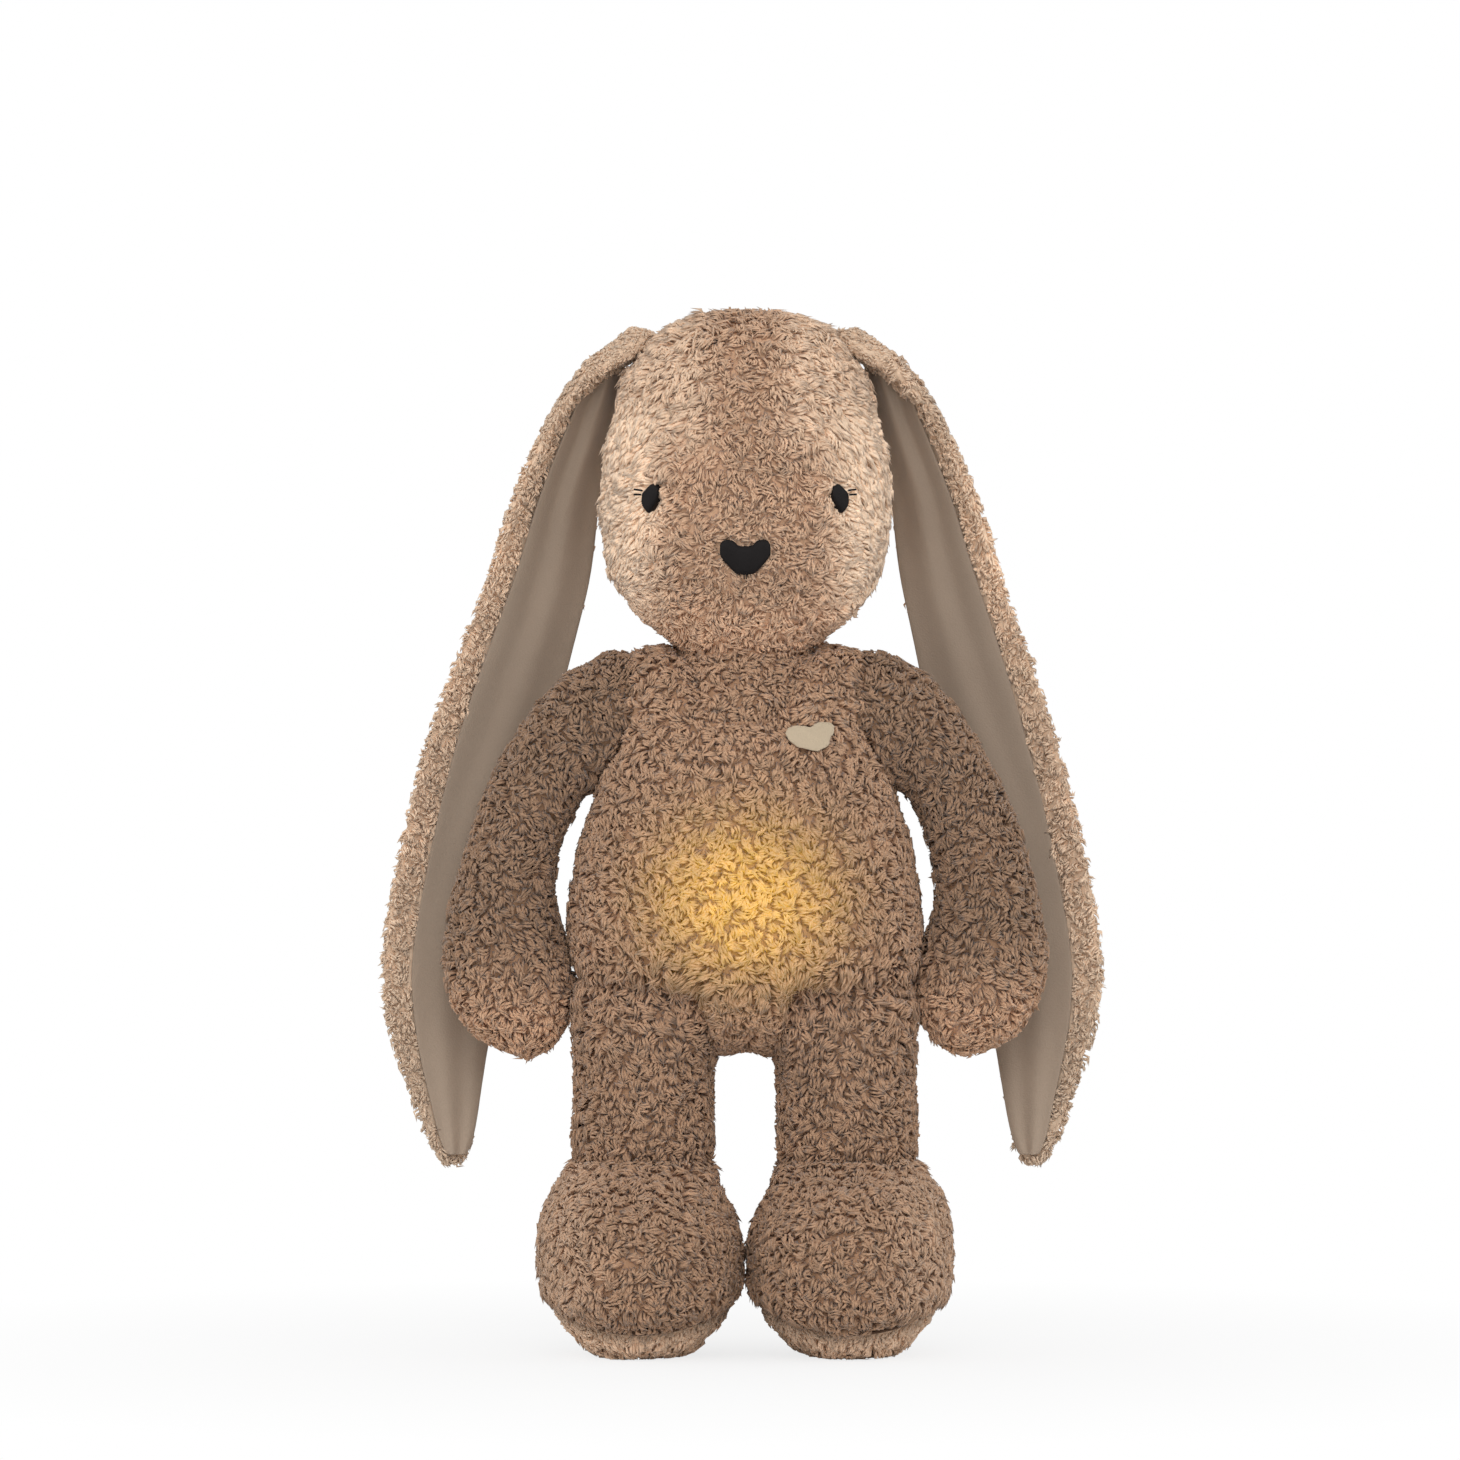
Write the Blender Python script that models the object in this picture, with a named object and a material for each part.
# A standing plush rabbit with lop ears and a light-and-sound unit in a pocket in its back.
# It faces -Y, +X is its left side, and the origin lies on the floor below its middle. The forms
# are laid out about the line where the seams of its sides lie, a little in front of that middle.

import math

import bmesh
import bpy
from mathutils import Matrix, Vector

# Driving sizes, in metres
GAP = 0.0003
PILE_THICKNESS = 0.006
CUT_OVERRUN = 0.004
BALL_CLEARANCE = 0.0009
SIDE_SEAM_Y = 0.008

TORSO_BASE_Z = 0.1135
TORSO_HEIGHT = 0.1545
TORSO_HALF_WIDTH = 0.0668
BELLY_DEPTH = 0.045
BACK_DEPTH = 0.036

NECK_BALL_RADIUS = 0.031
NECK_BALL_Y = -0.002
NECK_BALL_Z = 0.2445
NECK_OPENING_RADIUS = 0.014

HEAD_BASE_Z = 0.262
HEAD_HEIGHT = 0.1365
HEAD_HALF_WIDTH = 0.057
FACE_DEPTH = 0.050
NAPE_DEPTH = 0.048

SHOULDER_X = 0.044
SHOULDER_Z = 0.2415
SHOULDER_TILT = math.radians(22)
ARM_ROOT_RADIUS = 0.0225
ARM_LENGTH = 0.128
ARM_HALF_DEPTH = 0.0215

HIP_Z = 0.120
HIP_RADIUS = 0.026
HIP_CLEARANCE = 0.0008
HIP_FORWARD = math.radians(80)
HIP_BACKWARD = math.radians(15)
LEG_X = 0.0393
LEG_HALF_WIDTH = 0.0265
LEG_RIDGE_NARROWING = 0.2

FOOT_X = 0.0402
FOOT_HEIGHT = 0.072
FOOT_HALF_WIDTH = 0.0392
TOE_DEPTH = 0.0645
HEEL_DEPTH = 0.032
SOLE_SEAM_Z = 0.011

EAR_UP_SHARE = 0.9084
EAR_ROOT_Y = 0.003
EAR_HINGE_INSET = 0.0024
EAR_HINGE_RISE = 0.0012
EAR_LENGTH = 0.322
EAR_HALF_WIDTH = 0.0265
EAR_FALL_DEPTH = 0.031
EAR_SPREAD = 0.0745
EAR_THICKNESS = 0.0064
EAR_ROLL = 0.009
EAR_SEAT_GAP = 0.0006
LINING_THICKNESS = 0.0016

EYE_OUT_SHARE = 0.6316
EYE_UP_SHARE = 0.48
EYE_WIDTH = 0.0075
EYE_HEIGHT = 0.0108
NOSE_UP_SHARE = 0.315
NOSE_WIDTH = 0.019
NOSE_HEIGHT = 0.013
HEART_OUT_SHARE = 0.374
HEART_UP_SHARE = 0.793
HEART_WIDTH = 0.0195
HEART_HEIGHT = 0.0125
HEART_TURN = math.radians(8)
PATCH_THICKNESS = 0.0012

UNIT_Z = 0.176
UNIT_RADIUS = 0.028
UNIT_REAR_Y = 0.032
UNIT_DEPTH = 0.064
DIFFUSER_DEPTH = 0.0235
SHELL_WALL = 0.002
LINER_THICKNESS = 0.001
LINER_CLEARANCE = 0.0005
BOARD_RADIUS = 0.0245
BOARD_THICKNESS = 0.0016
BOARD_SETBACK = 0.003
POST_RADIUS = 0.003
POST_CIRCLE_RADIUS = 0.0205
SCREW_RADIUS = 0.0013
SCREW_HEAD_RADIUS = 0.0026
SCREW_HEAD_HEIGHT = 0.0014
SCREW_LENGTH = 0.008
EMITTER_SIDE = 0.005
EMITTER_HEIGHT = 0.0016
EMITTER_CIRCLE_RADIUS = 0.012
EMITTER_COUNT = 3
BATTERY_LENGTH = 0.032
BATTERY_HEIGHT = 0.024
BATTERY_THICKNESS = 0.008
SPEAKER_RADIUS = 0.013
SPEAKER_DEPTH = 0.006
SPEAKER_MAGNET_SHARE = 0.6
SOUND_HOLE_RADIUS = 0.0011
SOUND_HOLE_CIRCLE = 0.006
SOUND_HOLE_COUNT = 5
BUTTON_RADIUS = 0.0045
BUTTON_PROUD = 0.0012
BUTTON_TRAVEL = 0.001
BUTTON_FLANGE = 0.0012
BUTTON_FLANGE_HEIGHT = 0.001
BUTTON_CIRCLE_RADIUS = 0.0195
SOCKET_WIDTH = 0.009
SOCKET_HEIGHT = 0.0034
SOCKET_DEPTH = 0.0075
SOCKET_WALL = 0.0005
SOCKET_DROP = 0.021

FLAP_WIDTH = 0.076
FLAP_BASE_Z = 0.131
FLAP_HEIGHT = 0.078
FLAP_CORNER_SHARE = 0.3
FLAP_THICKNESS = 0.005
STRIP_WIDTH = 0.034
STRIP_HEIGHT = 0.008
STRIP_THICKNESS = 0.0012
STRIP_RISE = 0.004
STRIP_LIFT = 0.0006

# Above this angle an edge stays sharp, on soft forms and on moulded ones
SOFT_EDGE_ANGLE = math.radians(50)
MOULDED_EDGE_ANGLE = math.radians(35)

# Facets round each kind of form
TORSO_FACETS = 20
HEAD_FACETS = 20
LIMB_FACETS = 14
FOOT_FACETS = 16
STUFFING_FACETS = 12
BALL_FACETS = 20
CORE_FACETS = 12
UNIT_FACETS = 24
SMALL_FACETS = 12
HOLE_FACETS = 6
HIP_STEPS = 12
DOME_STEPS = 5
EAR_COLUMNS = 7
LINING_COLUMNS = 5
FLAP_COLUMNS = 12
FLAP_ROWS = 8
STRIP_COLUMNS = 8

# Cross-sections of the stuffed forms, from the bottom up. Each row holds the height, half width,
# front depth and back depth, each as a share of the form's own size.
TORSO_STATION_SHARES = (
    (0.0, 0.0, 0.0, 0.0),
    (0.03, 0.66, 0.50, 0.50),
    (0.10, 0.93, 0.80, 0.83),
    (0.22, 0.995, 0.97, 0.98),
    (0.36, 1.0, 1.0, 1.0),
    (0.50, 0.955, 0.96, 0.98),
    (0.63, 0.89, 0.92, 0.96),
    (0.75, 0.81, 0.86, 0.93),
    (0.86, 0.69, 0.78, 0.90),
    (0.93, 0.53, 0.62, 0.78),
    (0.98, 0.30, 0.36, 0.46),
    (1.0, 0.0, 0.0, 0.0),
)
HEAD_STATION_SHARES = (
    (0.0, 0.0, 0.0, 0.0),
    (0.035, 0.42, 0.43, 0.42),
    (0.13, 0.68, 0.74, 0.67),
    (0.27, 0.895, 0.97, 0.86),
    (0.45, 1.0, 1.0, 0.98),
    (0.63, 0.965, 0.95, 1.0),
    (0.80, 0.83, 0.80, 0.87),
    (0.93, 0.59, 0.56, 0.61),
    (0.985, 0.33, 0.31, 0.34),
    (1.0, 0.0, 0.0, 0.0),
)
FOOT_STATION_SHARES = (
    (0.0, 0.57, 0.66, 0.66),
    (0.055, 0.71, 0.80, 0.80),
    (0.153, 0.835, 0.91, 0.91),
    (0.29, 0.94, 0.985, 0.98),
    (0.555, 1.0, 1.0, 1.0),
    (0.735, 0.96, 0.92, 0.99),
    (0.865, 0.865, 0.76, 0.94),
    (0.955, 0.775, 0.57, 0.87),
    (1.0, 0.70, 0.42, 0.815),
)

# Cross-sections of an arm below its root: how far out and down its inner and its outer edge lie
# from the shoulder, as shares of the arm's length, and its half depth, as a share of the deepest.
ARM_STATION_SHARES = (
    (0.090, 0.194, 0.050, -0.200, 1.0),
    (0.109, 0.209, 0.172, -0.172, 1.0),
    (0.124, 0.222, 0.292, -0.048, 0.98),
    (0.140, 0.245, 0.410, 0.143, 0.95),
    (0.172, 0.318, 0.462, 0.264, 0.93),
    (0.203, 0.426, 0.500, 0.388, 0.95),
    (0.216, 0.558, 0.546, 0.547, 0.98),
    (0.208, 0.705, 0.580, 0.705, 1.0),
    (0.208, 0.835, 0.560, 0.825, 0.93),
    (0.240, 0.922, 0.515, 0.910, 0.76),
    (0.305, 0.977, 0.450, 0.972, 0.42),
    (0.380, 1.0, 0.380, 1.0, 0.0),
)
LEG_STATION_SHARES = (
    (0.0, 1.02, 1.0),
    (0.27, 1.03, 1.02),
    (0.60, 1.0, 1.0),
    (1.0, 1.0, 1.0),
)
HIP_DOME_STEPS = (math.radians(25), math.radians(48), math.radians(66), math.radians(79))

# Cross-sections of an ear along its middle line: drop from the root as a share of its length,
# spread outwards and fall backwards as shares of their own sizes, half width as a share, and
# how far the ear has turned from facing sideways to facing forward.
EAR_STATION_SHARES = (
    (0.0, -0.017, 0.0, 0.16, 0.0),
    (0.021, 0.061, 0.03, 0.26, 0.12),
    (0.0444, 0.243, 0.10, 0.40, 0.33),
    (0.0786, 0.33, 0.22, 0.52, 0.52),
    (0.1146, 0.37, 0.35, 0.60, 0.66),
    (0.1857, 0.458, 0.58, 0.68, 0.80),
    (0.2742, 0.534, 0.80, 0.79, 0.92),
    (0.3643, 0.646, 0.94, 0.865, 1.0),
    (0.4699, 0.766, 1.0, 0.955, 1.0),
    (0.577, 0.88, 1.0, 0.98, 1.0),
    (0.7028, 0.986, 1.0, 0.975, 1.0),
    (0.7556, 1.016, 1.0, 0.945, 1.0),
    (0.8084, 1.024, 1.0, 0.834, 1.0),
    (0.8618, 1.016, 1.0, 0.669, 1.0),
    (0.9153, 1.005, 1.0, 0.492, 1.0),
    (0.9512, 1.0, 1.0, 0.375, 1.0),
    (0.976, 0.988, 1.0, 0.22, 1.0),
    (0.985, 0.984, 1.0, 0.11, 1.0),
)

PATCH_EYE_SHARES = (
    (0.0, -0.5),
    (0.28, -0.28),
    (0.46, 0.02),
    (0.5, 0.26),
    (0.36, 0.44),
    (0.0, 0.5),
    (-0.36, 0.44),
    (-0.5, 0.26),
    (-0.46, 0.02),
    (-0.28, -0.28),
)
PATCH_NOSE_SHARES = (
    (0.0, -0.5),
    (0.17, -0.42),
    (0.36, -0.08),
    (0.48, 0.16),
    (0.5, 0.34),
    (0.4, 0.47),
    (0.22, 0.5),
    (0.08, 0.36),
    (-0.08, 0.36),
    (-0.22, 0.5),
    (-0.4, 0.47),
    (-0.5, 0.34),
    (-0.48, 0.16),
    (-0.36, -0.08),
    (-0.17, -0.42),
)
PATCH_HEART_SHARES = (
    (0.0, -0.5),
    (0.26, -0.26),
    (0.45, 0.05),
    (0.5, 0.28),
    (0.4, 0.46),
    (0.24, 0.5),
    (0.09, 0.4),
    (0.0, 0.24),
    (-0.09, 0.4),
    (-0.24, 0.5),
    (-0.4, 0.46),
    (-0.5, 0.28),
    (-0.45, 0.05),
    (-0.26, -0.26),
)

# How an ear's section is shaped: where its outer edge starts to roll forward, how its edges thin
# out, how far it turns to the front, and which part of its width and which rows the lining covers
EAR_ROLL_START_SHARE = 0.25
EAR_EDGE_ROUNDING = 6
EAR_EDGE_SHARE = 0.45
EAR_TURN_SHARE = 0.88
LINING_INNER_SHARE = -0.94
LINING_OUTER_SHARE = 0.52
LINING_FIRST_ROW = 3

# Where the board's screw posts stand and where the buttons lie, in degrees from straight up
POST_ANGLES = (0, 140, -140)
BUTTONS = (("button_play", -60), ("button_louder", -100), ("button_softer", 100), ("button_light", 60))

TORSO_SQUARENESS = 2.35
HEAD_SQUARENESS = 2.1
LIMB_SQUARENESS = 2.15
FOOT_SQUARENESS = 2.3


for old in list(bpy.data.objects):
    bpy.data.objects.remove(old)


def finish_of(name, colour, roughness, metallic=0.0):
    """A Principled material, made once for each name."""
    found = bpy.data.materials.get(name)
    if found:
        return found
    made = bpy.data.materials.new(name)
    made.use_nodes = True
    shader = made.node_tree.nodes["Principled BSDF"]
    shader.inputs["Base Color"].default_value = (*colour, 1)
    shader.inputs["Roughness"].default_value = roughness
    shader.inputs["Metallic"].default_value = metallic
    return made


def pile_fabric():
    return finish_of("pile_fabric", (0.30, 0.19, 0.12), 0.95)


def fibre():
    return finish_of("fibre", (0.80, 0.79, 0.76), 0.9)


def velour():
    return finish_of("velour", (0.33, 0.26, 0.20), 0.85)


def dark_thread():
    return finish_of("dark_thread", (0.03, 0.024, 0.022), 0.7)


def cream_felt():
    return finish_of("cream_felt", (0.54, 0.44, 0.32), 0.9)


def white_plastic():
    return finish_of("white_plastic", (0.80, 0.79, 0.76), 0.45)


def diffuser_plastic():
    return finish_of("diffuser_plastic", (0.90, 0.86, 0.78), 0.35)


def button_rubber():
    return finish_of("button_rubber", (0.35, 0.34, 0.33), 0.6)


def object_from(mesh_builder, name, finish, smooth_angle=SOFT_EDGE_ANGLE):
    """A new object from a bmesh, its normals facing out, with soft shading on its round faces."""
    bmesh.ops.recalc_face_normals(mesh_builder, faces=mesh_builder.faces)
    mesh = bpy.data.meshes.new(name)
    mesh_builder.to_mesh(mesh)
    mesh_builder.free()
    mesh.shade_smooth()
    mesh.set_sharp_from_angle(angle=smooth_angle)
    mesh.materials.append(finish)
    made = bpy.data.objects.new(name, mesh)
    bpy.context.collection.objects.link(made)
    return made


def as_cutter(helper):
    helper.hide_render = True
    helper.display_type = "WIRE"
    return helper


def cut(target, cutter, operation="DIFFERENCE"):
    boolean = target.modifiers.new(cutter.name, "BOOLEAN")
    boolean.operation = operation
    boolean.object = cutter


def round_power(value, squareness):
    return math.copysign(abs(value) ** (2 / squareness), value)


def section(centre, across, front, back, squareness, facets):
    """A closed ring of points about a centre: a squared ellipse with its own depth each way."""
    ring = []
    for step in range(facets):
        angle = 2 * math.pi * (step + 0.5) / facets
        depth = round_power(math.sin(angle), squareness)
        side = back if depth > 0 else front
        ring.append(centre + across * round_power(math.cos(angle), squareness) + side * abs(depth))
    return ring


def form(rings, overrun_start=0.0, overrun_end=0.0):
    """A closed bmesh through rings of points. A ring of one point is a rounded tip, and other
    end rings are closed flat. An overrun carries a flat end straight on."""
    rings = list(rings)
    if overrun_start:
        rings.insert(0, carried_on(rings[0], rings[1], overrun_start))
    if overrun_end:
        rings.append(carried_on(rings[-1], rings[-2], overrun_end))
    builder = bmesh.new()
    rows = [[builder.verts.new(point) for point in ring] for ring in rings]
    for low, high in zip(rows, rows[1:]):
        count = max(len(low), len(high))
        for step in range(count):
            after = (step + 1) % count
            near, near_next = low[step % len(low)], low[after % len(low)]
            far, far_next = high[step % len(high)], high[after % len(high)]
            if near is not near_next:
                builder.faces.new((near, near_next, far_next))
            if far is not far_next:
                builder.faces.new((near, far_next, far))
    for row in (rows[0], rows[-1]):
        if len(row) > 1:
            builder.faces.new(row)
    return builder


def middle_of(points):
    return sum(points, Vector()) / len(points)


def carried_on(ring, neighbour, overrun):
    """The ring moved square to its own plane, away from its neighbour."""
    middle = middle_of(ring)
    quarter = len(ring) // 4
    square = (ring[0] - middle).cross(ring[quarter] - middle).normalized()
    if square.dot(middle - middle_of(neighbour)) < 0:
        square.negate()
    return [point + square * overrun for point in ring]


def stacked_rings(shares, base, height, middle_x, sizes, squareness, facets, inset=0.0):
    """Level rings up a form that stands on a base height, from rows of shares of its half width,
    front depth and back depth. The inset draws the whole form in."""
    rings = []
    half_width, front, back = (size - inset for size in sizes)
    for level, width, forward, backward in shares:
        z = base + inset + (height - 2 * inset) * level
        centre = Vector((middle_x, 0, z))
        if width == 0:
            rings.append([centre])
            continue
        across = Vector((half_width * width, 0, 0))
        ahead = Vector((0, -front * forward, 0))
        behind = Vector((0, back * backward, 0))
        rings.append(section(centre, across, ahead, behind, squareness, facets))
    return rings


def surface_depth(shares, base, height, half_width, depth, column, squareness, x, z):
    """How far a stacked form reaches forward or back from its middle plane at a place."""
    level = (z - base) / height
    for low, high in zip(shares, shares[1:]):
        if low[0] <= level <= high[0]:
            part = (level - low[0]) / (high[0] - low[0])
            width = half_width * (low[1] + (high[1] - low[1]) * part)
            reach = depth * (low[column] + (high[column] - low[column]) * part)
            inside = max(1 - (abs(x) / width) ** squareness, 0)
            return reach * inside ** (1 / squareness)
    raise ValueError("the place lies above or below the form")


def belly_at(x, z):
    return surface_depth(
        TORSO_STATION_SHARES, TORSO_BASE_Z, TORSO_HEIGHT, TORSO_HALF_WIDTH, BELLY_DEPTH, 2,
        TORSO_SQUARENESS, x, z,
    )


def back_at(x, z):
    return surface_depth(
        TORSO_STATION_SHARES, TORSO_BASE_Z, TORSO_HEIGHT, TORSO_HALF_WIDTH, BACK_DEPTH, 3,
        TORSO_SQUARENESS, x, z,
    )


def face_at(x, z):
    return surface_depth(
        HEAD_STATION_SHARES, HEAD_BASE_Z, HEAD_HEIGHT, HEAD_HALF_WIDTH, FACE_DEPTH, 2,
        HEAD_SQUARENESS, x, z,
    )


def ball(name, centre, radius, finish, facets=BALL_FACETS):
    builder = bmesh.new()
    bmesh.ops.create_uvsphere(
        builder, u_segments=facets, v_segments=facets // 2, radius=radius,
        matrix=Matrix.Translation(centre),
    )
    return object_from(builder, name, finish)


def turned(name, profile, centre, finish, facets=UNIT_FACETS):
    """A solid turned about a line along Y. The profile runs from one end of that line to the other
    as pairs of radius and Y; a pair of radius zero is a point on the line."""
    rings = []
    for radius, y in profile:
        if radius == 0:
            rings.append([Vector((centre[0], y, centre[1]))])
            continue
        angles = [2 * math.pi * step / facets for step in range(facets)]
        rings.append(
            [
                Vector((centre[0] + radius * math.cos(a), y, centre[1] + radius * math.sin(a)))
                for a in angles
            ]
        )
    return object_from(form(rings), name, finish, MOULDED_EDGE_ANGLE)


def block(name, centre, size, finish):
    builder = bmesh.new()
    bmesh.ops.create_cube(
        builder, size=1, matrix=Matrix.Translation(centre) @ Matrix.Diagonal((*size, 1))
    )
    return object_from(builder, name, finish, MOULDED_EDGE_ANGLE)


def half_space(name, point, normal, reach):
    """A large block with one face on a plane, filling the side that the normal points to."""
    builder = bmesh.new()
    turn = normal.to_track_quat("Z", "Y").to_matrix().to_4x4()
    place = Matrix.Translation(point + normal * reach / 2) @ turn
    bmesh.ops.create_cube(builder, size=reach, matrix=place)
    return as_cutter(object_from(builder, name, fibre()))


def prism_along_x(name, outline, low_x, high_x):
    """An outline of Y and Z pairs, drawn out along X."""
    rings = [[Vector((x, y, z)) for y, z in outline] for x in (low_x, high_x)]
    return as_cutter(object_from(form(rings), name, fibre()))


def shoulder_normal(side):
    """The direction in which an arm's root plane faces away from the body."""
    return Vector((side * math.cos(SHOULDER_TILT), 0, math.sin(SHOULDER_TILT)))


def shoulder_point(side):
    return Vector((side * SHOULDER_X, 0, SHOULDER_Z))


def torso_form(facets, inset=0.0):
    sizes = (TORSO_HALF_WIDTH, BELLY_DEPTH, BACK_DEPTH)
    return form(
        stacked_rings(
            TORSO_STATION_SHARES, TORSO_BASE_Z, TORSO_HEIGHT, 0, sizes, TORSO_SQUARENESS, facets,
            inset,
        )
    )


def hip_sweep(name, side, growth):
    """The room that a leg's round top and its thigh need below the body, over the hip's range."""
    radius = HIP_RADIUS + HIP_CLEARANCE + growth
    front = math.pi / 2 - HIP_FORWARD
    rear = math.pi / 2 - HIP_BACKWARD
    angles = [front - (front + rear) * step / HIP_STEPS for step in range(HIP_STEPS + 1)]
    outline = [(-radius * math.sin(a), HIP_Z + radius * math.cos(a)) for a in angles]
    reach = 2 * TORSO_HALF_WIDTH
    first, last = outline[0], outline[-1]
    ahead = (first[0] - reach * math.cos(front), first[1] - reach * math.sin(front))
    behind = (last[0] + reach * math.cos(rear), last[1] - reach * math.sin(rear))
    outline = [ahead, *outline, behind, (behind[0], -reach), (ahead[0], -reach)]
    inner = LEG_X - LEG_HALF_WIDTH - HIP_CLEARANCE - growth
    ends = sorted((side * inner, side * 2 * TORSO_HALF_WIDTH))
    return prism_along_x(name, outline, *ends)


def unit_profile(growth):
    """The outline of the light-and-sound unit from its dome back to its rear face, grown outwards."""
    rear = UNIT_REAR_Y
    seam = rear - (UNIT_DEPTH - DIFFUSER_DEPTH)
    profile = [(0, seam - DIFFUSER_DEPTH - growth)]
    for step in range(1, DOME_STEPS + 1):
        angle = math.pi / 2 * step / DOME_STEPS
        profile.append(
            (
                (UNIT_RADIUS + growth) * math.sin(angle),
                seam - (DIFFUSER_DEPTH + growth) * math.cos(angle),
            )
        )
    return profile


def pocket_cutter(name, growth, rear_y):
    profile = unit_profile(growth)
    profile.append((UNIT_RADIUS + growth, rear_y))
    return as_cutter(turned(name, profile, (0, UNIT_Z), fibre()))


def make_torso():
    """The body skin, its stuffing and the neck between body and head."""
    filling_inset = PILE_THICKNESS + GAP
    hollow = as_cutter(object_from(torso_form(STUFFING_FACETS, PILE_THICKNESS), "torso_hollow", fibre()))
    filling = object_from(torso_form(STUFFING_FACETS, filling_inset), "body_stuffing", fibre())
    skin = object_from(torso_form(TORSO_FACETS), "body_skin", pile_fabric())
    neck = Vector((0, NECK_BALL_Y, NECK_BALL_Z))
    socket = as_cutter(ball("neck_socket_in_body", neck, NECK_BALL_RADIUS + BALL_CLEARANCE, fibre()))
    for side, word in ((1, "left"), (-1, "right")):
        normal = shoulder_normal(side)
        point = shoulder_point(side)
        reach = 2 * TORSO_HEIGHT
        cut(skin, half_space("armhole_" + word, point, normal, reach))
        inner = point - normal * PILE_THICKNESS
        cut(hollow, half_space("armhole_lining_" + word, inner, normal, reach))
        deeper = point - normal * filling_inset
        cut(filling, half_space("armhole_filling_" + word, deeper, normal, reach))
        cut(skin, hip_sweep("hip_room_" + word, side, 0))
        cut(hollow, hip_sweep("hip_lining_" + word, side, PILE_THICKNESS))
        cut(filling, hip_sweep("hip_filling_" + word, side, filling_inset))
    cut(skin, hollow)
    cut(skin, socket)
    cut(filling, socket)
    open_y = 2 * BACK_DEPTH
    liner_growth = LINER_CLEARANCE + LINER_THICKNESS
    cut(skin, pocket_cutter("pocket_hole_in_skin", liner_growth + GAP, open_y))
    cut(filling, pocket_cutter("pocket_hole_in_filling", liner_growth + GAP, open_y))

    gusset = ball("neck_gusset", neck, NECK_BALL_RADIUS, pile_fabric())
    core_radius = NECK_BALL_RADIUS - PILE_THICKNESS
    cut(gusset, as_cutter(ball("gusset_hollow", neck, core_radius, fibre(), CORE_FACETS)))
    mouth = [
        (NECK_OPENING_RADIUS * math.cos(a), NECK_BALL_Y + NECK_OPENING_RADIUS * math.sin(a))
        for a in (2 * math.pi * step / SMALL_FACETS for step in range(SMALL_FACETS))
    ]
    low = NECK_BALL_Z - NECK_BALL_RADIUS - CUT_OVERRUN
    rings = [[Vector((x, y, z)) for x, y in mouth] for z in (low, NECK_BALL_Z)]
    cut(gusset, as_cutter(object_from(form(rings), "gusset_mouth", fibre())))
    ball("neck_stuffing", neck, core_radius - GAP, fibre(), CORE_FACETS)


def head_form(facets, inset=0.0):
    sizes = (HEAD_HALF_WIDTH, FACE_DEPTH, NAPE_DEPTH)
    return form(
        stacked_rings(
            HEAD_STATION_SHARES, HEAD_BASE_Z, HEAD_HEIGHT, 0, sizes, HEAD_SQUARENESS, facets, inset
        )
    )


def make_head():
    """The head skin and stuffing, dished below to sit on the neck."""
    neck = Vector((0, NECK_BALL_Y, NECK_BALL_Z))
    socket = as_cutter(ball("neck_socket_in_head", neck, NECK_BALL_RADIUS + BALL_CLEARANCE, fibre()))
    hollow = as_cutter(object_from(head_form(STUFFING_FACETS, PILE_THICKNESS), "head_hollow", fibre()))
    skin = object_from(head_form(HEAD_FACETS), "head_skin", pile_fabric())
    cut(skin, hollow)
    cut(skin, socket)
    filling = object_from(head_form(STUFFING_FACETS, PILE_THICKNESS + GAP), "head_stuffing", fibre())
    cut(filling, socket)


def arm_rings(side, facets, inset=0.0):
    """An arm's cross-sections, from the flat root on the armhole down to the paw's tip."""
    origin = shoulder_point(side) + shoulder_normal(side) * GAP
    down = Vector((side * math.sin(SHOULDER_TILT), 0, -math.cos(SHOULDER_TILT)))
    root_radius = ARM_ROOT_RADIUS - inset
    ahead = Vector((0, -root_radius, 0))
    rings = [section(origin, down * root_radius, ahead, -ahead, LIMB_SQUARENESS, facets)]
    for in_out, in_down, out_out, out_down, depth in ARM_STATION_SHARES:
        inner = origin + Vector((side * in_out, 0, -in_down)) * ARM_LENGTH
        outer = origin + Vector((side * out_out, 0, -out_down)) * ARM_LENGTH
        centre = (inner + outer) / 2
        across = inner - centre
        half_depth = ARM_HALF_DEPTH * depth - inset
        if inset and half_depth < inset:
            break
        if depth == 0:
            rings.append([centre])
            continue
        across = across.normalized() * (across.length - inset)
        ahead = Vector((0, -half_depth, 0))
        rings.append(section(centre, across, ahead, -ahead, LIMB_SQUARENESS, facets))
    return rings


def make_arm(side, word):
    hollow = form(arm_rings(side, STUFFING_FACETS, PILE_THICKNESS), overrun_start=CUT_OVERRUN)
    hollow = as_cutter(object_from(hollow, "arm_hollow_" + word, fibre()))
    skin = object_from(form(arm_rings(side, LIMB_FACETS)), "arm_skin_" + word, pile_fabric())
    cut(skin, hollow)
    inner_rings = arm_rings(side, STUFFING_FACETS, PILE_THICKNESS + GAP)
    inner_rings[-1] = carried_on(inner_rings[-1], inner_rings[-2], -GAP)
    object_from(form(inner_rings), "arm_stuffing_" + word, fibre())


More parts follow.
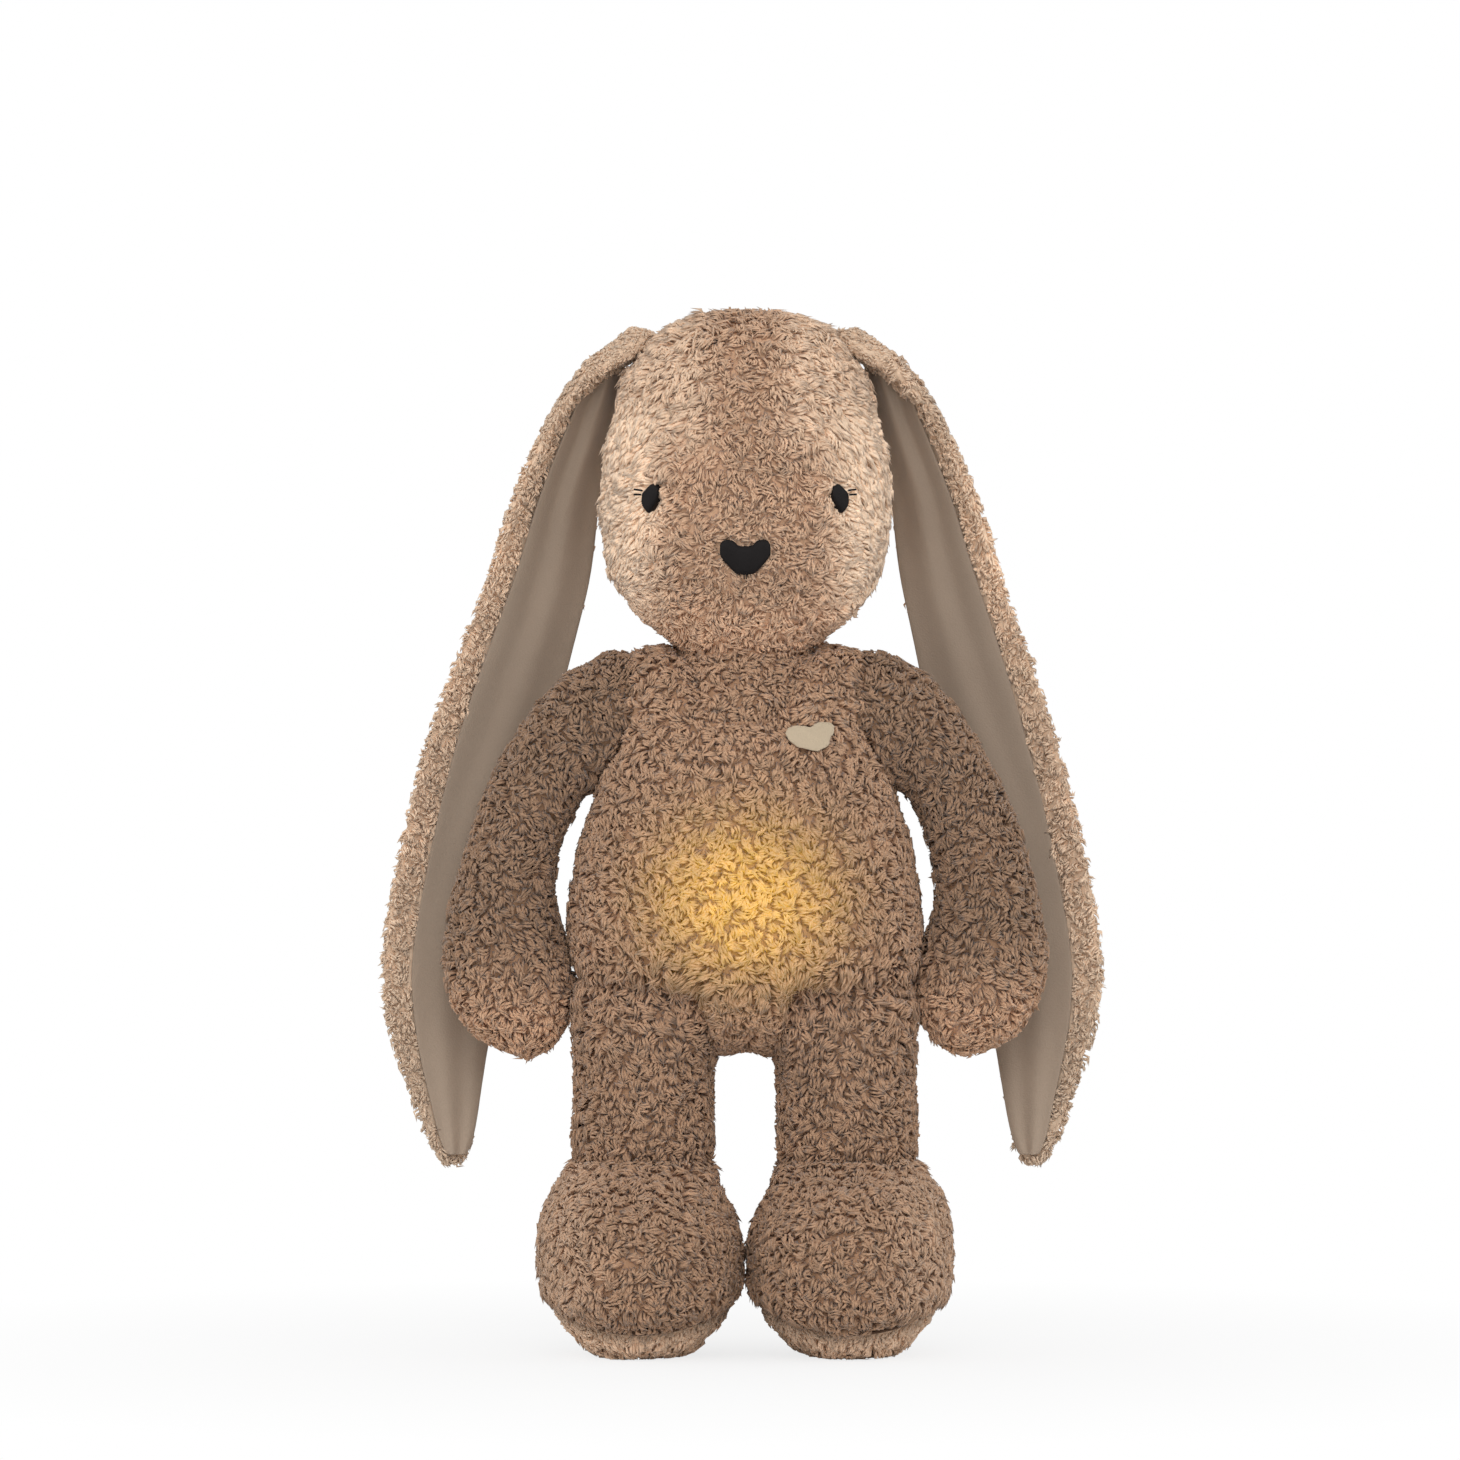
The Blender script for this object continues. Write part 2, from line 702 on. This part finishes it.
def leg_rings(side, facets, inset=0.0):
    """A leg's cross-sections, from the ankle up over the round top that turns in the hip."""
    middle = side * LEG_X
    half_width = LEG_HALF_WIDTH - inset
    half_depth = HIP_RADIUS - inset
    base = FOOT_HEIGHT + GAP
    rings = []
    for level, width, depth in LEG_STATION_SHARES:
        centre = Vector((middle, 0, base + (HIP_Z - base) * level))
        across = Vector((half_width * width, 0, 0))
        ahead = Vector((0, -half_depth * depth, 0))
        rings.append(section(centre, across, ahead, -ahead, LIMB_SQUARENESS, facets))
    for angle in HIP_DOME_STEPS:
        centre = Vector((middle, 0, HIP_Z + half_depth * math.sin(angle)))
        narrowing = 1 - LEG_RIDGE_NARROWING * (1 - math.cos(angle))
        across = Vector((half_width * narrowing, 0, 0))
        ahead = Vector((0, -half_depth * math.cos(angle), 0))
        rings.append(section(centre, across, ahead, -ahead, LIMB_SQUARENESS, facets))
    return rings


def make_leg(side, word):
    hollow = form(leg_rings(side, STUFFING_FACETS, PILE_THICKNESS), overrun_start=CUT_OVERRUN)
    hollow = as_cutter(object_from(hollow, "leg_hollow_" + word, fibre()))
    skin = object_from(form(leg_rings(side, LIMB_FACETS)), "leg_skin_" + word, pile_fabric())
    cut(skin, hollow)
    filling = form(leg_rings(side, STUFFING_FACETS, PILE_THICKNESS + GAP))
    object_from(filling, "leg_stuffing_" + word, fibre())


def foot_form(side, facets, inset=0.0, overrun=0.0):
    sizes = (FOOT_HALF_WIDTH, TOE_DEPTH, HEEL_DEPTH)
    middle = side * FOOT_X
    rings = stacked_rings(
        FOOT_STATION_SHARES, 0, FOOT_HEIGHT, middle, sizes, FOOT_SQUARENESS, facets, inset
    )
    return form(rings, overrun_end=overrun)


def make_foot(side, word):
    """The foot's upper skin, the sole panel below its seam, and the stuffing."""
    reach = 2 * (TOE_DEPTH + HEEL_DEPTH)
    up, down = Vector((0, 0, 1)), Vector((0, 0, -1))
    middle = Vector((side * FOOT_X, 0, 0))
    through_top = PILE_THICKNESS + CUT_OVERRUN
    hollow = foot_form(side, STUFFING_FACETS, PILE_THICKNESS, through_top)
    hollow = as_cutter(object_from(hollow, "foot_hollow_" + word, fibre()))
    upper = object_from(foot_form(side, FOOT_FACETS), "foot_skin_" + word, pile_fabric())
    cut(upper, half_space("below_seam_" + word, middle + up * (SOLE_SEAM_Z + GAP), down, reach))
    cut(upper, hollow)
    sole = object_from(foot_form(side, FOOT_FACETS), "sole_" + word, pile_fabric())
    cut(sole, half_space("above_seam_" + word, middle + up * SOLE_SEAM_Z, up, reach))
    cut(sole, hollow)
    filling_inset = PILE_THICKNESS + GAP
    filling = foot_form(side, STUFFING_FACETS, filling_inset, filling_inset)
    object_from(filling, "foot_stuffing_" + word, fibre())


def ear_frame(side, row):
    """Where an ear's middle line runs at one station, with its width and lining directions."""
    drop, spread, fall, width, turn = row
    root = ear_root(side)
    centre = root + Vector(
        (side * EAR_SPREAD * spread, EAR_FALL_DEPTH * fall, -EAR_LENGTH * drop)
    )
    angle = math.pi / 2 * (1 - turn * EAR_TURN_SHARE)
    outer_edge = Vector((side * math.cos(angle), -math.sin(angle), 0))
    lining_side = Vector((-side * math.sin(angle), -math.cos(angle), 0))
    return centre, outer_edge * EAR_HALF_WIDTH * width, lining_side


def ear_root(side):
    """The hinge line of an ear: its rounded root just clears the side of the head."""
    level = EAR_UP_SHARE
    rows = HEAD_STATION_SHARES
    for low, high in zip(rows, rows[1:]):
        if low[0] <= level <= high[0]:
            part = (level - low[0]) / (high[0] - low[0])
            half_width = HEAD_HALF_WIDTH * (low[1] + (high[1] - low[1]) * part)
            slope = HEAD_HALF_WIDTH * (high[1] - low[1]) / (HEAD_HEIGHT * (high[0] - low[0]))
    normal = Vector((1, 0, -slope)).normalized()
    seat = Vector((half_width, EAR_ROOT_Y, HEAD_BASE_Z + level * HEAD_HEIGHT))
    place = seat + normal * (EAR_THICKNESS / 2 + EAR_SEAT_GAP)
    return Vector((side * place.x, place.y, place.z))


def ear_sheet(side, inner_share, outer_share, thickness, lift, columns, first, last):
    """A sheet that follows an ear between two shares of its width, at a lift towards the lining."""
    rings = []
    for row in EAR_STATION_SHARES[first:last]:
        centre, outer_edge, lining_side = ear_frame(side, row)
        front, back = [], []
        for step in range(columns + 1):
            share = inner_share + (outer_share - inner_share) * step / columns
            roll = max(share - EAR_ROLL_START_SHARE, 0) / (1 - EAR_ROLL_START_SHARE)
            bend = EAR_ROLL * row[3] * roll ** 2
            edge = 1 - abs(2 * step / columns - 1) ** EAR_EDGE_ROUNDING
            half = thickness / 2 * (EAR_EDGE_SHARE + (1 - EAR_EDGE_SHARE) * edge)
            middle = centre + outer_edge * share + lining_side * (bend + lift)
            front.append(middle + lining_side * half)
            back.append(middle - lining_side * half)
        rings.append(front + back[::-1])
    return form(rings)


def make_ear(side, word):
    """An ear's outer panel of pile fabric and the smooth lining that lies in it."""
    outer = ear_sheet(side, -1, 1, EAR_THICKNESS, 0, EAR_COLUMNS, 0, None)
    object_from(outer, "ear_outer_" + word, pile_fabric())
    lift = EAR_THICKNESS / 2 + GAP + LINING_THICKNESS / 2
    lining = ear_sheet(
        side, LINING_INNER_SHARE, LINING_OUTER_SHARE, LINING_THICKNESS, lift,
        LINING_COLUMNS, LINING_FIRST_ROW, -1,
    )
    object_from(lining, "ear_lining_" + word, velour())


def make_patch(name, outline_shares, width, height, place, normal, turn, finish):
    """A flat patch of stitches or felt, laid just off the skin and facing along the normal."""
    across = Vector((0, 0, 1)).cross(normal).normalized()
    upward = normal.cross(across).normalized()
    rings = []
    for level in (GAP, GAP + PATCH_THICKNESS):
        ring = []
        for share_x, share_z in outline_shares:
            x, z = share_x * width, share_z * height
            turned_x = x * math.cos(turn) - z * math.sin(turn)
            turned_z = x * math.sin(turn) + z * math.cos(turn)
            ring.append(place + normal * level + across * turned_x + upward * turned_z)
        rings.append(ring)
    return object_from(form(rings), name, finish)


def normal_of(depth_at, x, z, step):
    """The outward direction of a front surface that depth_at describes."""
    by_x = (depth_at(x + step, z) - depth_at(x - step, z)) / (2 * step)
    by_z = (depth_at(x, z + step) - depth_at(x, z - step)) / (2 * step)
    return Vector((-by_x, -1, -by_z)).normalized()


def make_face():
    eye_x = EYE_OUT_SHARE * HEAD_HALF_WIDTH
    eye_z = HEAD_BASE_Z + EYE_UP_SHARE * HEAD_HEIGHT
    for side, word in ((1, "left"), (-1, "right")):
        place = Vector((side * eye_x, -face_at(eye_x, eye_z), eye_z))
        normal = normal_of(face_at, side * eye_x, eye_z, EYE_WIDTH)
        make_patch(
            "eye_" + word, PATCH_EYE_SHARES, EYE_WIDTH, EYE_HEIGHT, place, normal, 0, dark_thread()
        )
    nose_z = HEAD_BASE_Z + NOSE_UP_SHARE * HEAD_HEIGHT
    place = Vector((0, -face_at(0, nose_z), nose_z))
    normal = normal_of(face_at, 0, nose_z, NOSE_HEIGHT / 2)
    make_patch("nose", PATCH_NOSE_SHARES, NOSE_WIDTH, NOSE_HEIGHT, place, normal, 0, dark_thread())


def make_heart():
    x = HEART_OUT_SHARE * TORSO_HALF_WIDTH
    z = TORSO_BASE_Z + HEART_UP_SHARE * TORSO_HEIGHT
    place = Vector((x, -belly_at(x, z), z))
    normal = normal_of(belly_at, x, z, HEART_HEIGHT / 2)
    make_patch(
        "heart_patch", PATCH_HEART_SHARES, HEART_WIDTH, HEART_HEIGHT, place, normal, HEART_TURN,
        cream_felt(),
    )


def back_sheet(name, width, low_z, high_z, lift_low, lift_high, thickness, corner_share, cells, finish):
    """A sheet that follows the curve of the back, with its lower corners rounded off."""
    columns, rows = cells
    corner = corner_share * width
    rings = []
    for row in range(rows + 1):
        z = low_z + (high_z - low_z) * row / rows
        above = z - low_z
        trim = corner - math.sqrt(max(corner ** 2 - (corner - above) ** 2, 0)) if above < corner else 0
        half = width / 2 - trim
        lift = lift_low + (lift_high - lift_low) * row / rows
        inner, outer = [], []
        for column in range(columns + 1):
            x = half * (2 * column / columns - 1)
            y = back_at(x, z) + lift
            inner.append(Vector((x, y, z)))
            outer.append(Vector((x, y + thickness, z)))
        rings.append(inner + outer[::-1])
    return object_from(form(rings), name, finish)


def make_pocket():
    """The liner that holds the unit, and the flap that closes it on a hook-and-loop strip."""
    outside = unit_profile(LINER_CLEARANCE + LINER_THICKNESS)
    inside = unit_profile(LINER_CLEARANCE)
    mouth_radius = UNIT_RADIUS + LINER_CLEARANCE + LINER_THICKNESS
    around = [2 * math.pi * step / UNIT_FACETS for step in range(UNIT_FACETS)]
    mouth_y = min(back_at(*on_circle(mouth_radius, angle)) for angle in around) - GAP
    outside.append((mouth_radius, mouth_y))
    inside.append((UNIT_RADIUS + LINER_CLEARANCE, mouth_y))
    turned("pocket_liner", outside + inside[::-1], (0, UNIT_Z), velour())

    low_z = FLAP_BASE_Z
    high_z = FLAP_BASE_Z + FLAP_HEIGHT
    lift_low = STRIP_LIFT + 2 * (GAP + STRIP_THICKNESS)
    back_sheet(
        "pocket_flap", FLAP_WIDTH, low_z, high_z, lift_low, GAP, FLAP_THICKNESS,
        FLAP_CORNER_SHARE, (FLAP_COLUMNS, FLAP_ROWS), pile_fabric(),
    )
    strip_low = low_z + STRIP_RISE
    strip_high = strip_low + STRIP_HEIGHT
    drop = (lift_low - GAP) / FLAP_HEIGHT
    levels = [lift_low - drop * (z - low_z) for z in (strip_low, strip_high)]
    back_sheet(
        "hook_strip", STRIP_WIDTH, strip_low, strip_high, STRIP_LIFT, STRIP_LIFT + levels[1] - levels[0],
        STRIP_THICKNESS, 0, (STRIP_COLUMNS, 1), dark_thread(),
    )
    offset = GAP + STRIP_THICKNESS
    back_sheet(
        "loop_strip", STRIP_WIDTH, strip_low, strip_high, levels[0] - offset, levels[1] - offset,
        STRIP_THICKNESS, 0, (STRIP_COLUMNS, 1), dark_thread(),
    )


def on_circle(radius, angle):
    """A place on the unit's faces, as X and Z, at an angle from straight up."""
    return radius * math.sin(angle), UNIT_Z + radius * math.cos(angle)


def rod(name, place, radius, low_y, high_y, finish, facets=SMALL_FACETS):
    return turned(name, [(radius, low_y), (radius, high_y)], place, finish, facets)


def make_unit():
    """The light-and-sound unit: two shells, a board with its emitters, and what the rear shell holds."""
    seam = UNIT_REAR_Y - (UNIT_DEPTH - DIFFUSER_DEPTH)
    middle = (0, UNIT_Z)
    inner_radius = UNIT_RADIUS - SHELL_WALL

    dome_outside = unit_profile(0)
    dome_inside = unit_profile(-SHELL_WALL)
    edge = seam - GAP
    dome_outside[-1] = (UNIT_RADIUS, edge)
    dome_inside[-1] = (inner_radius, edge)
    turned("unit_diffuser", dome_outside + dome_inside[::-1], middle, diffuser_plastic())

    rear_inside = UNIT_REAR_Y - SHELL_WALL
    chamfer = SHELL_WALL / 2
    shell = turned(
        "unit_rear_shell",
        [
            (UNIT_RADIUS - chamfer, UNIT_REAR_Y), (UNIT_RADIUS, UNIT_REAR_Y - chamfer),
            (UNIT_RADIUS, seam), (inner_radius, seam), (inner_radius, rear_inside),
        ],
        middle, white_plastic(),
    )
    board_rear = seam + BOARD_SETBACK + BOARD_THICKNESS
    board = turned(
        "circuit_board", [(BOARD_RADIUS, seam + BOARD_SETBACK), (BOARD_RADIUS, board_rear)],
        middle, finish_of("board_green", (0.05, 0.22, 0.10), 0.5),
    )

    for index in range(EMITTER_COUNT):
        x, z = on_circle(EMITTER_CIRCLE_RADIUS, 2 * math.pi * index / EMITTER_COUNT)
        y = seam + BOARD_SETBACK - GAP - EMITTER_HEIGHT / 2
        block(
            "light_emitter_%d" % (index + 1), Vector((x, y, z)),
            (EMITTER_SIDE, EMITTER_HEIGHT, EMITTER_SIDE), finish_of("emitter", (0.95, 0.85, 0.55), 0.3),
        )

    post_angles = [math.radians(angle) for angle in POST_ANGLES]
    for index, angle in enumerate(post_angles):
        place = on_circle(POST_CIRCLE_RADIUS, angle)
        post_name = "post_%d" % (index + 1)
        post = rod(post_name, place, POST_RADIUS, board_rear + GAP, rear_inside + chamfer, fibre())
        cut(shell, as_cutter(post), "UNION")
        screw_hole = rod(
            "screw_hole_%d" % (index + 1), place, SCREW_RADIUS + GAP,
            board_rear - CUT_OVERRUN, board_rear + SCREW_LENGTH, fibre(),
        )
        cut(shell, as_cutter(screw_hole))
        cut(board, screw_hole)
        head_rear = seam + BOARD_SETBACK - GAP
        turned(
            "board_screw_%d" % (index + 1),
            [
                (SCREW_HEAD_RADIUS, head_rear - SCREW_HEAD_HEIGHT), (SCREW_HEAD_RADIUS, head_rear),
                (SCREW_RADIUS, head_rear), (SCREW_RADIUS, head_rear + SCREW_LENGTH),
            ],
            place, finish_of("bright_steel", (0.6, 0.6, 0.6), 0.3, 1.0), SMALL_FACETS,
        )

    block(
        "battery", Vector((0, board_rear + GAP + BATTERY_THICKNESS / 2, UNIT_Z)),
        (BATTERY_LENGTH, BATTERY_THICKNESS, BATTERY_HEIGHT),
        finish_of("battery_film", (0.10, 0.20, 0.45), 0.4),
    )
    speaker_rear = rear_inside - GAP
    turned(
        "speaker",
        [
            (SPEAKER_RADIUS * SPEAKER_MAGNET_SHARE, speaker_rear - SPEAKER_DEPTH),
            (SPEAKER_RADIUS, speaker_rear - SPEAKER_DEPTH / 2), (SPEAKER_RADIUS, speaker_rear),
        ],
        middle, dark_thread(),
    )
    for index in range(SOUND_HOLE_COUNT):
        place = on_circle(SOUND_HOLE_CIRCLE, 2 * math.pi * index / SOUND_HOLE_COUNT)
        hole = rod(
            "sound_hole_%d" % (index + 1), place, SOUND_HOLE_RADIUS, rear_inside - GAP / 2,
            UNIT_REAR_Y + CUT_OVERRUN, fibre(), HOLE_FACETS,
        )
        cut(shell, as_cutter(hole))

    for name, degrees in BUTTONS:
        make_button(shell, name, on_circle(BUTTON_CIRCLE_RADIUS, math.radians(degrees)))
    make_socket(shell)


def make_button(shell, name, place):
    rear_inside = UNIT_REAR_Y - SHELL_WALL
    hole = rod(
        name + "_hole", place, BUTTON_RADIUS + GAP, rear_inside - CUT_OVERRUN / 2,
        UNIT_REAR_Y + CUT_OVERRUN, fibre(),
    )
    cut(shell, as_cutter(hole))
    flange_rear = rear_inside - GAP
    wide = BUTTON_RADIUS + BUTTON_FLANGE
    turned(
        name,
        [
            (wide, flange_rear - BUTTON_FLANGE_HEIGHT), (wide, flange_rear),
            (BUTTON_RADIUS, flange_rear), (BUTTON_RADIUS, UNIT_REAR_Y + BUTTON_PROUD / 2),
            (BUTTON_RADIUS - BUTTON_PROUD / 2, UNIT_REAR_Y + BUTTON_PROUD),
        ],
        place, button_rubber(), SMALL_FACETS,
    )


def make_socket(shell):
    """The charging socket, which opens in the rear face below the buttons."""
    metal = finish_of("bright_steel", (0.6, 0.6, 0.6), 0.3, 1.0)
    z = UNIT_Z - SOCKET_DROP
    body = block(
        "charging_socket", Vector((0, UNIT_REAR_Y - SOCKET_DEPTH / 2, z)),
        (SOCKET_WIDTH, SOCKET_DEPTH, SOCKET_HEIGHT), metal,
    )
    inside = block(
        "socket_mouth", Vector((0, UNIT_REAR_Y + CUT_OVERRUN - SOCKET_DEPTH / 2, z)),
        (SOCKET_WIDTH - 2 * SOCKET_WALL, SOCKET_DEPTH, SOCKET_HEIGHT - 2 * SOCKET_WALL), metal,
    )
    cut(body, as_cutter(inside))
    window = block(
        "socket_window", Vector((0, UNIT_REAR_Y, z)),
        (SOCKET_WIDTH + 2 * GAP, 2 * (SHELL_WALL + GAP), SOCKET_HEIGHT + 2 * GAP), metal,
    )
    cut(shell, as_cutter(window))


def hang(name, place, pieces, parent=None):
    """An empty on a joint's axis, which carries the pieces that turn or slide there."""
    pivot = bpy.data.objects.new(name, None)
    bpy.context.collection.objects.link(pivot)
    pivot.location = place
    if parent:
        pivot.parent = parent
        pivot.matrix_parent_inverse = Matrix.Translation(-parent.location)
    for piece in pieces:
        carried = bpy.data.objects[piece]
        carried.parent = pivot
        carried.matrix_parent_inverse = Matrix.Translation(-pivot.location)
    return pivot


def add_pivots():
    neck_place = Vector((0, NECK_BALL_Y, NECK_BALL_Z))
    nod = hang("neck_pivot", neck_place, ("neck_gusset", "neck_stuffing"))
    on_head = ("head_skin", "head_stuffing", "eye_left", "eye_right", "nose")
    tilt = hang("head_pivot", neck_place, on_head, nod)
    for side, word in ((1, "left"), (-1, "right")):
        ear_place = ear_root(side) + Vector((-side * EAR_HINGE_INSET, 0, EAR_HINGE_RISE))
        hang("ear_pivot_" + word, ear_place, ("ear_outer_" + word, "ear_lining_" + word), tilt)
        hang("arm_pivot_" + word, shoulder_point(side), ("arm_skin_" + word, "arm_stuffing_" + word))
        kinds = ("leg_skin_", "leg_stuffing_", "foot_skin_", "foot_stuffing_", "sole_")
        hang("leg_pivot_" + word, Vector((side * LEG_X, 0, HIP_Z)), [kind + word for kind in kinds])
    top = FLAP_BASE_Z + FLAP_HEIGHT
    flap_place = Vector((0, back_at(0, top) + GAP + FLAP_THICKNESS, top))
    hang("flap_pivot", flap_place, ("pocket_flap", "loop_strip"))
    for name, degrees in BUTTONS:
        x, z = on_circle(BUTTON_CIRCLE_RADIUS, math.radians(degrees))
        hang(name + "_slide", Vector((x, UNIT_REAR_Y, z)), (name,))


def set_on_origin():
    """Carries everything from the line of the side seams to its place over the origin."""
    loose = [each for each in bpy.data.objects if not each.parent]
    base = bpy.data.objects.new("rabbit_base", None)
    bpy.context.collection.objects.link(base)
    base.location = (0, SIDE_SEAM_Y, 0)
    for each in loose:
        each.parent = base


make_torso()
make_head()
for side, word in ((1, "left"), (-1, "right")):
    make_arm(side, word)
    make_leg(side, word)
    make_foot(side, word)
    make_ear(side, word)
make_face()
make_heart()
make_pocket()
make_unit()
add_pivots()
set_on_origin()
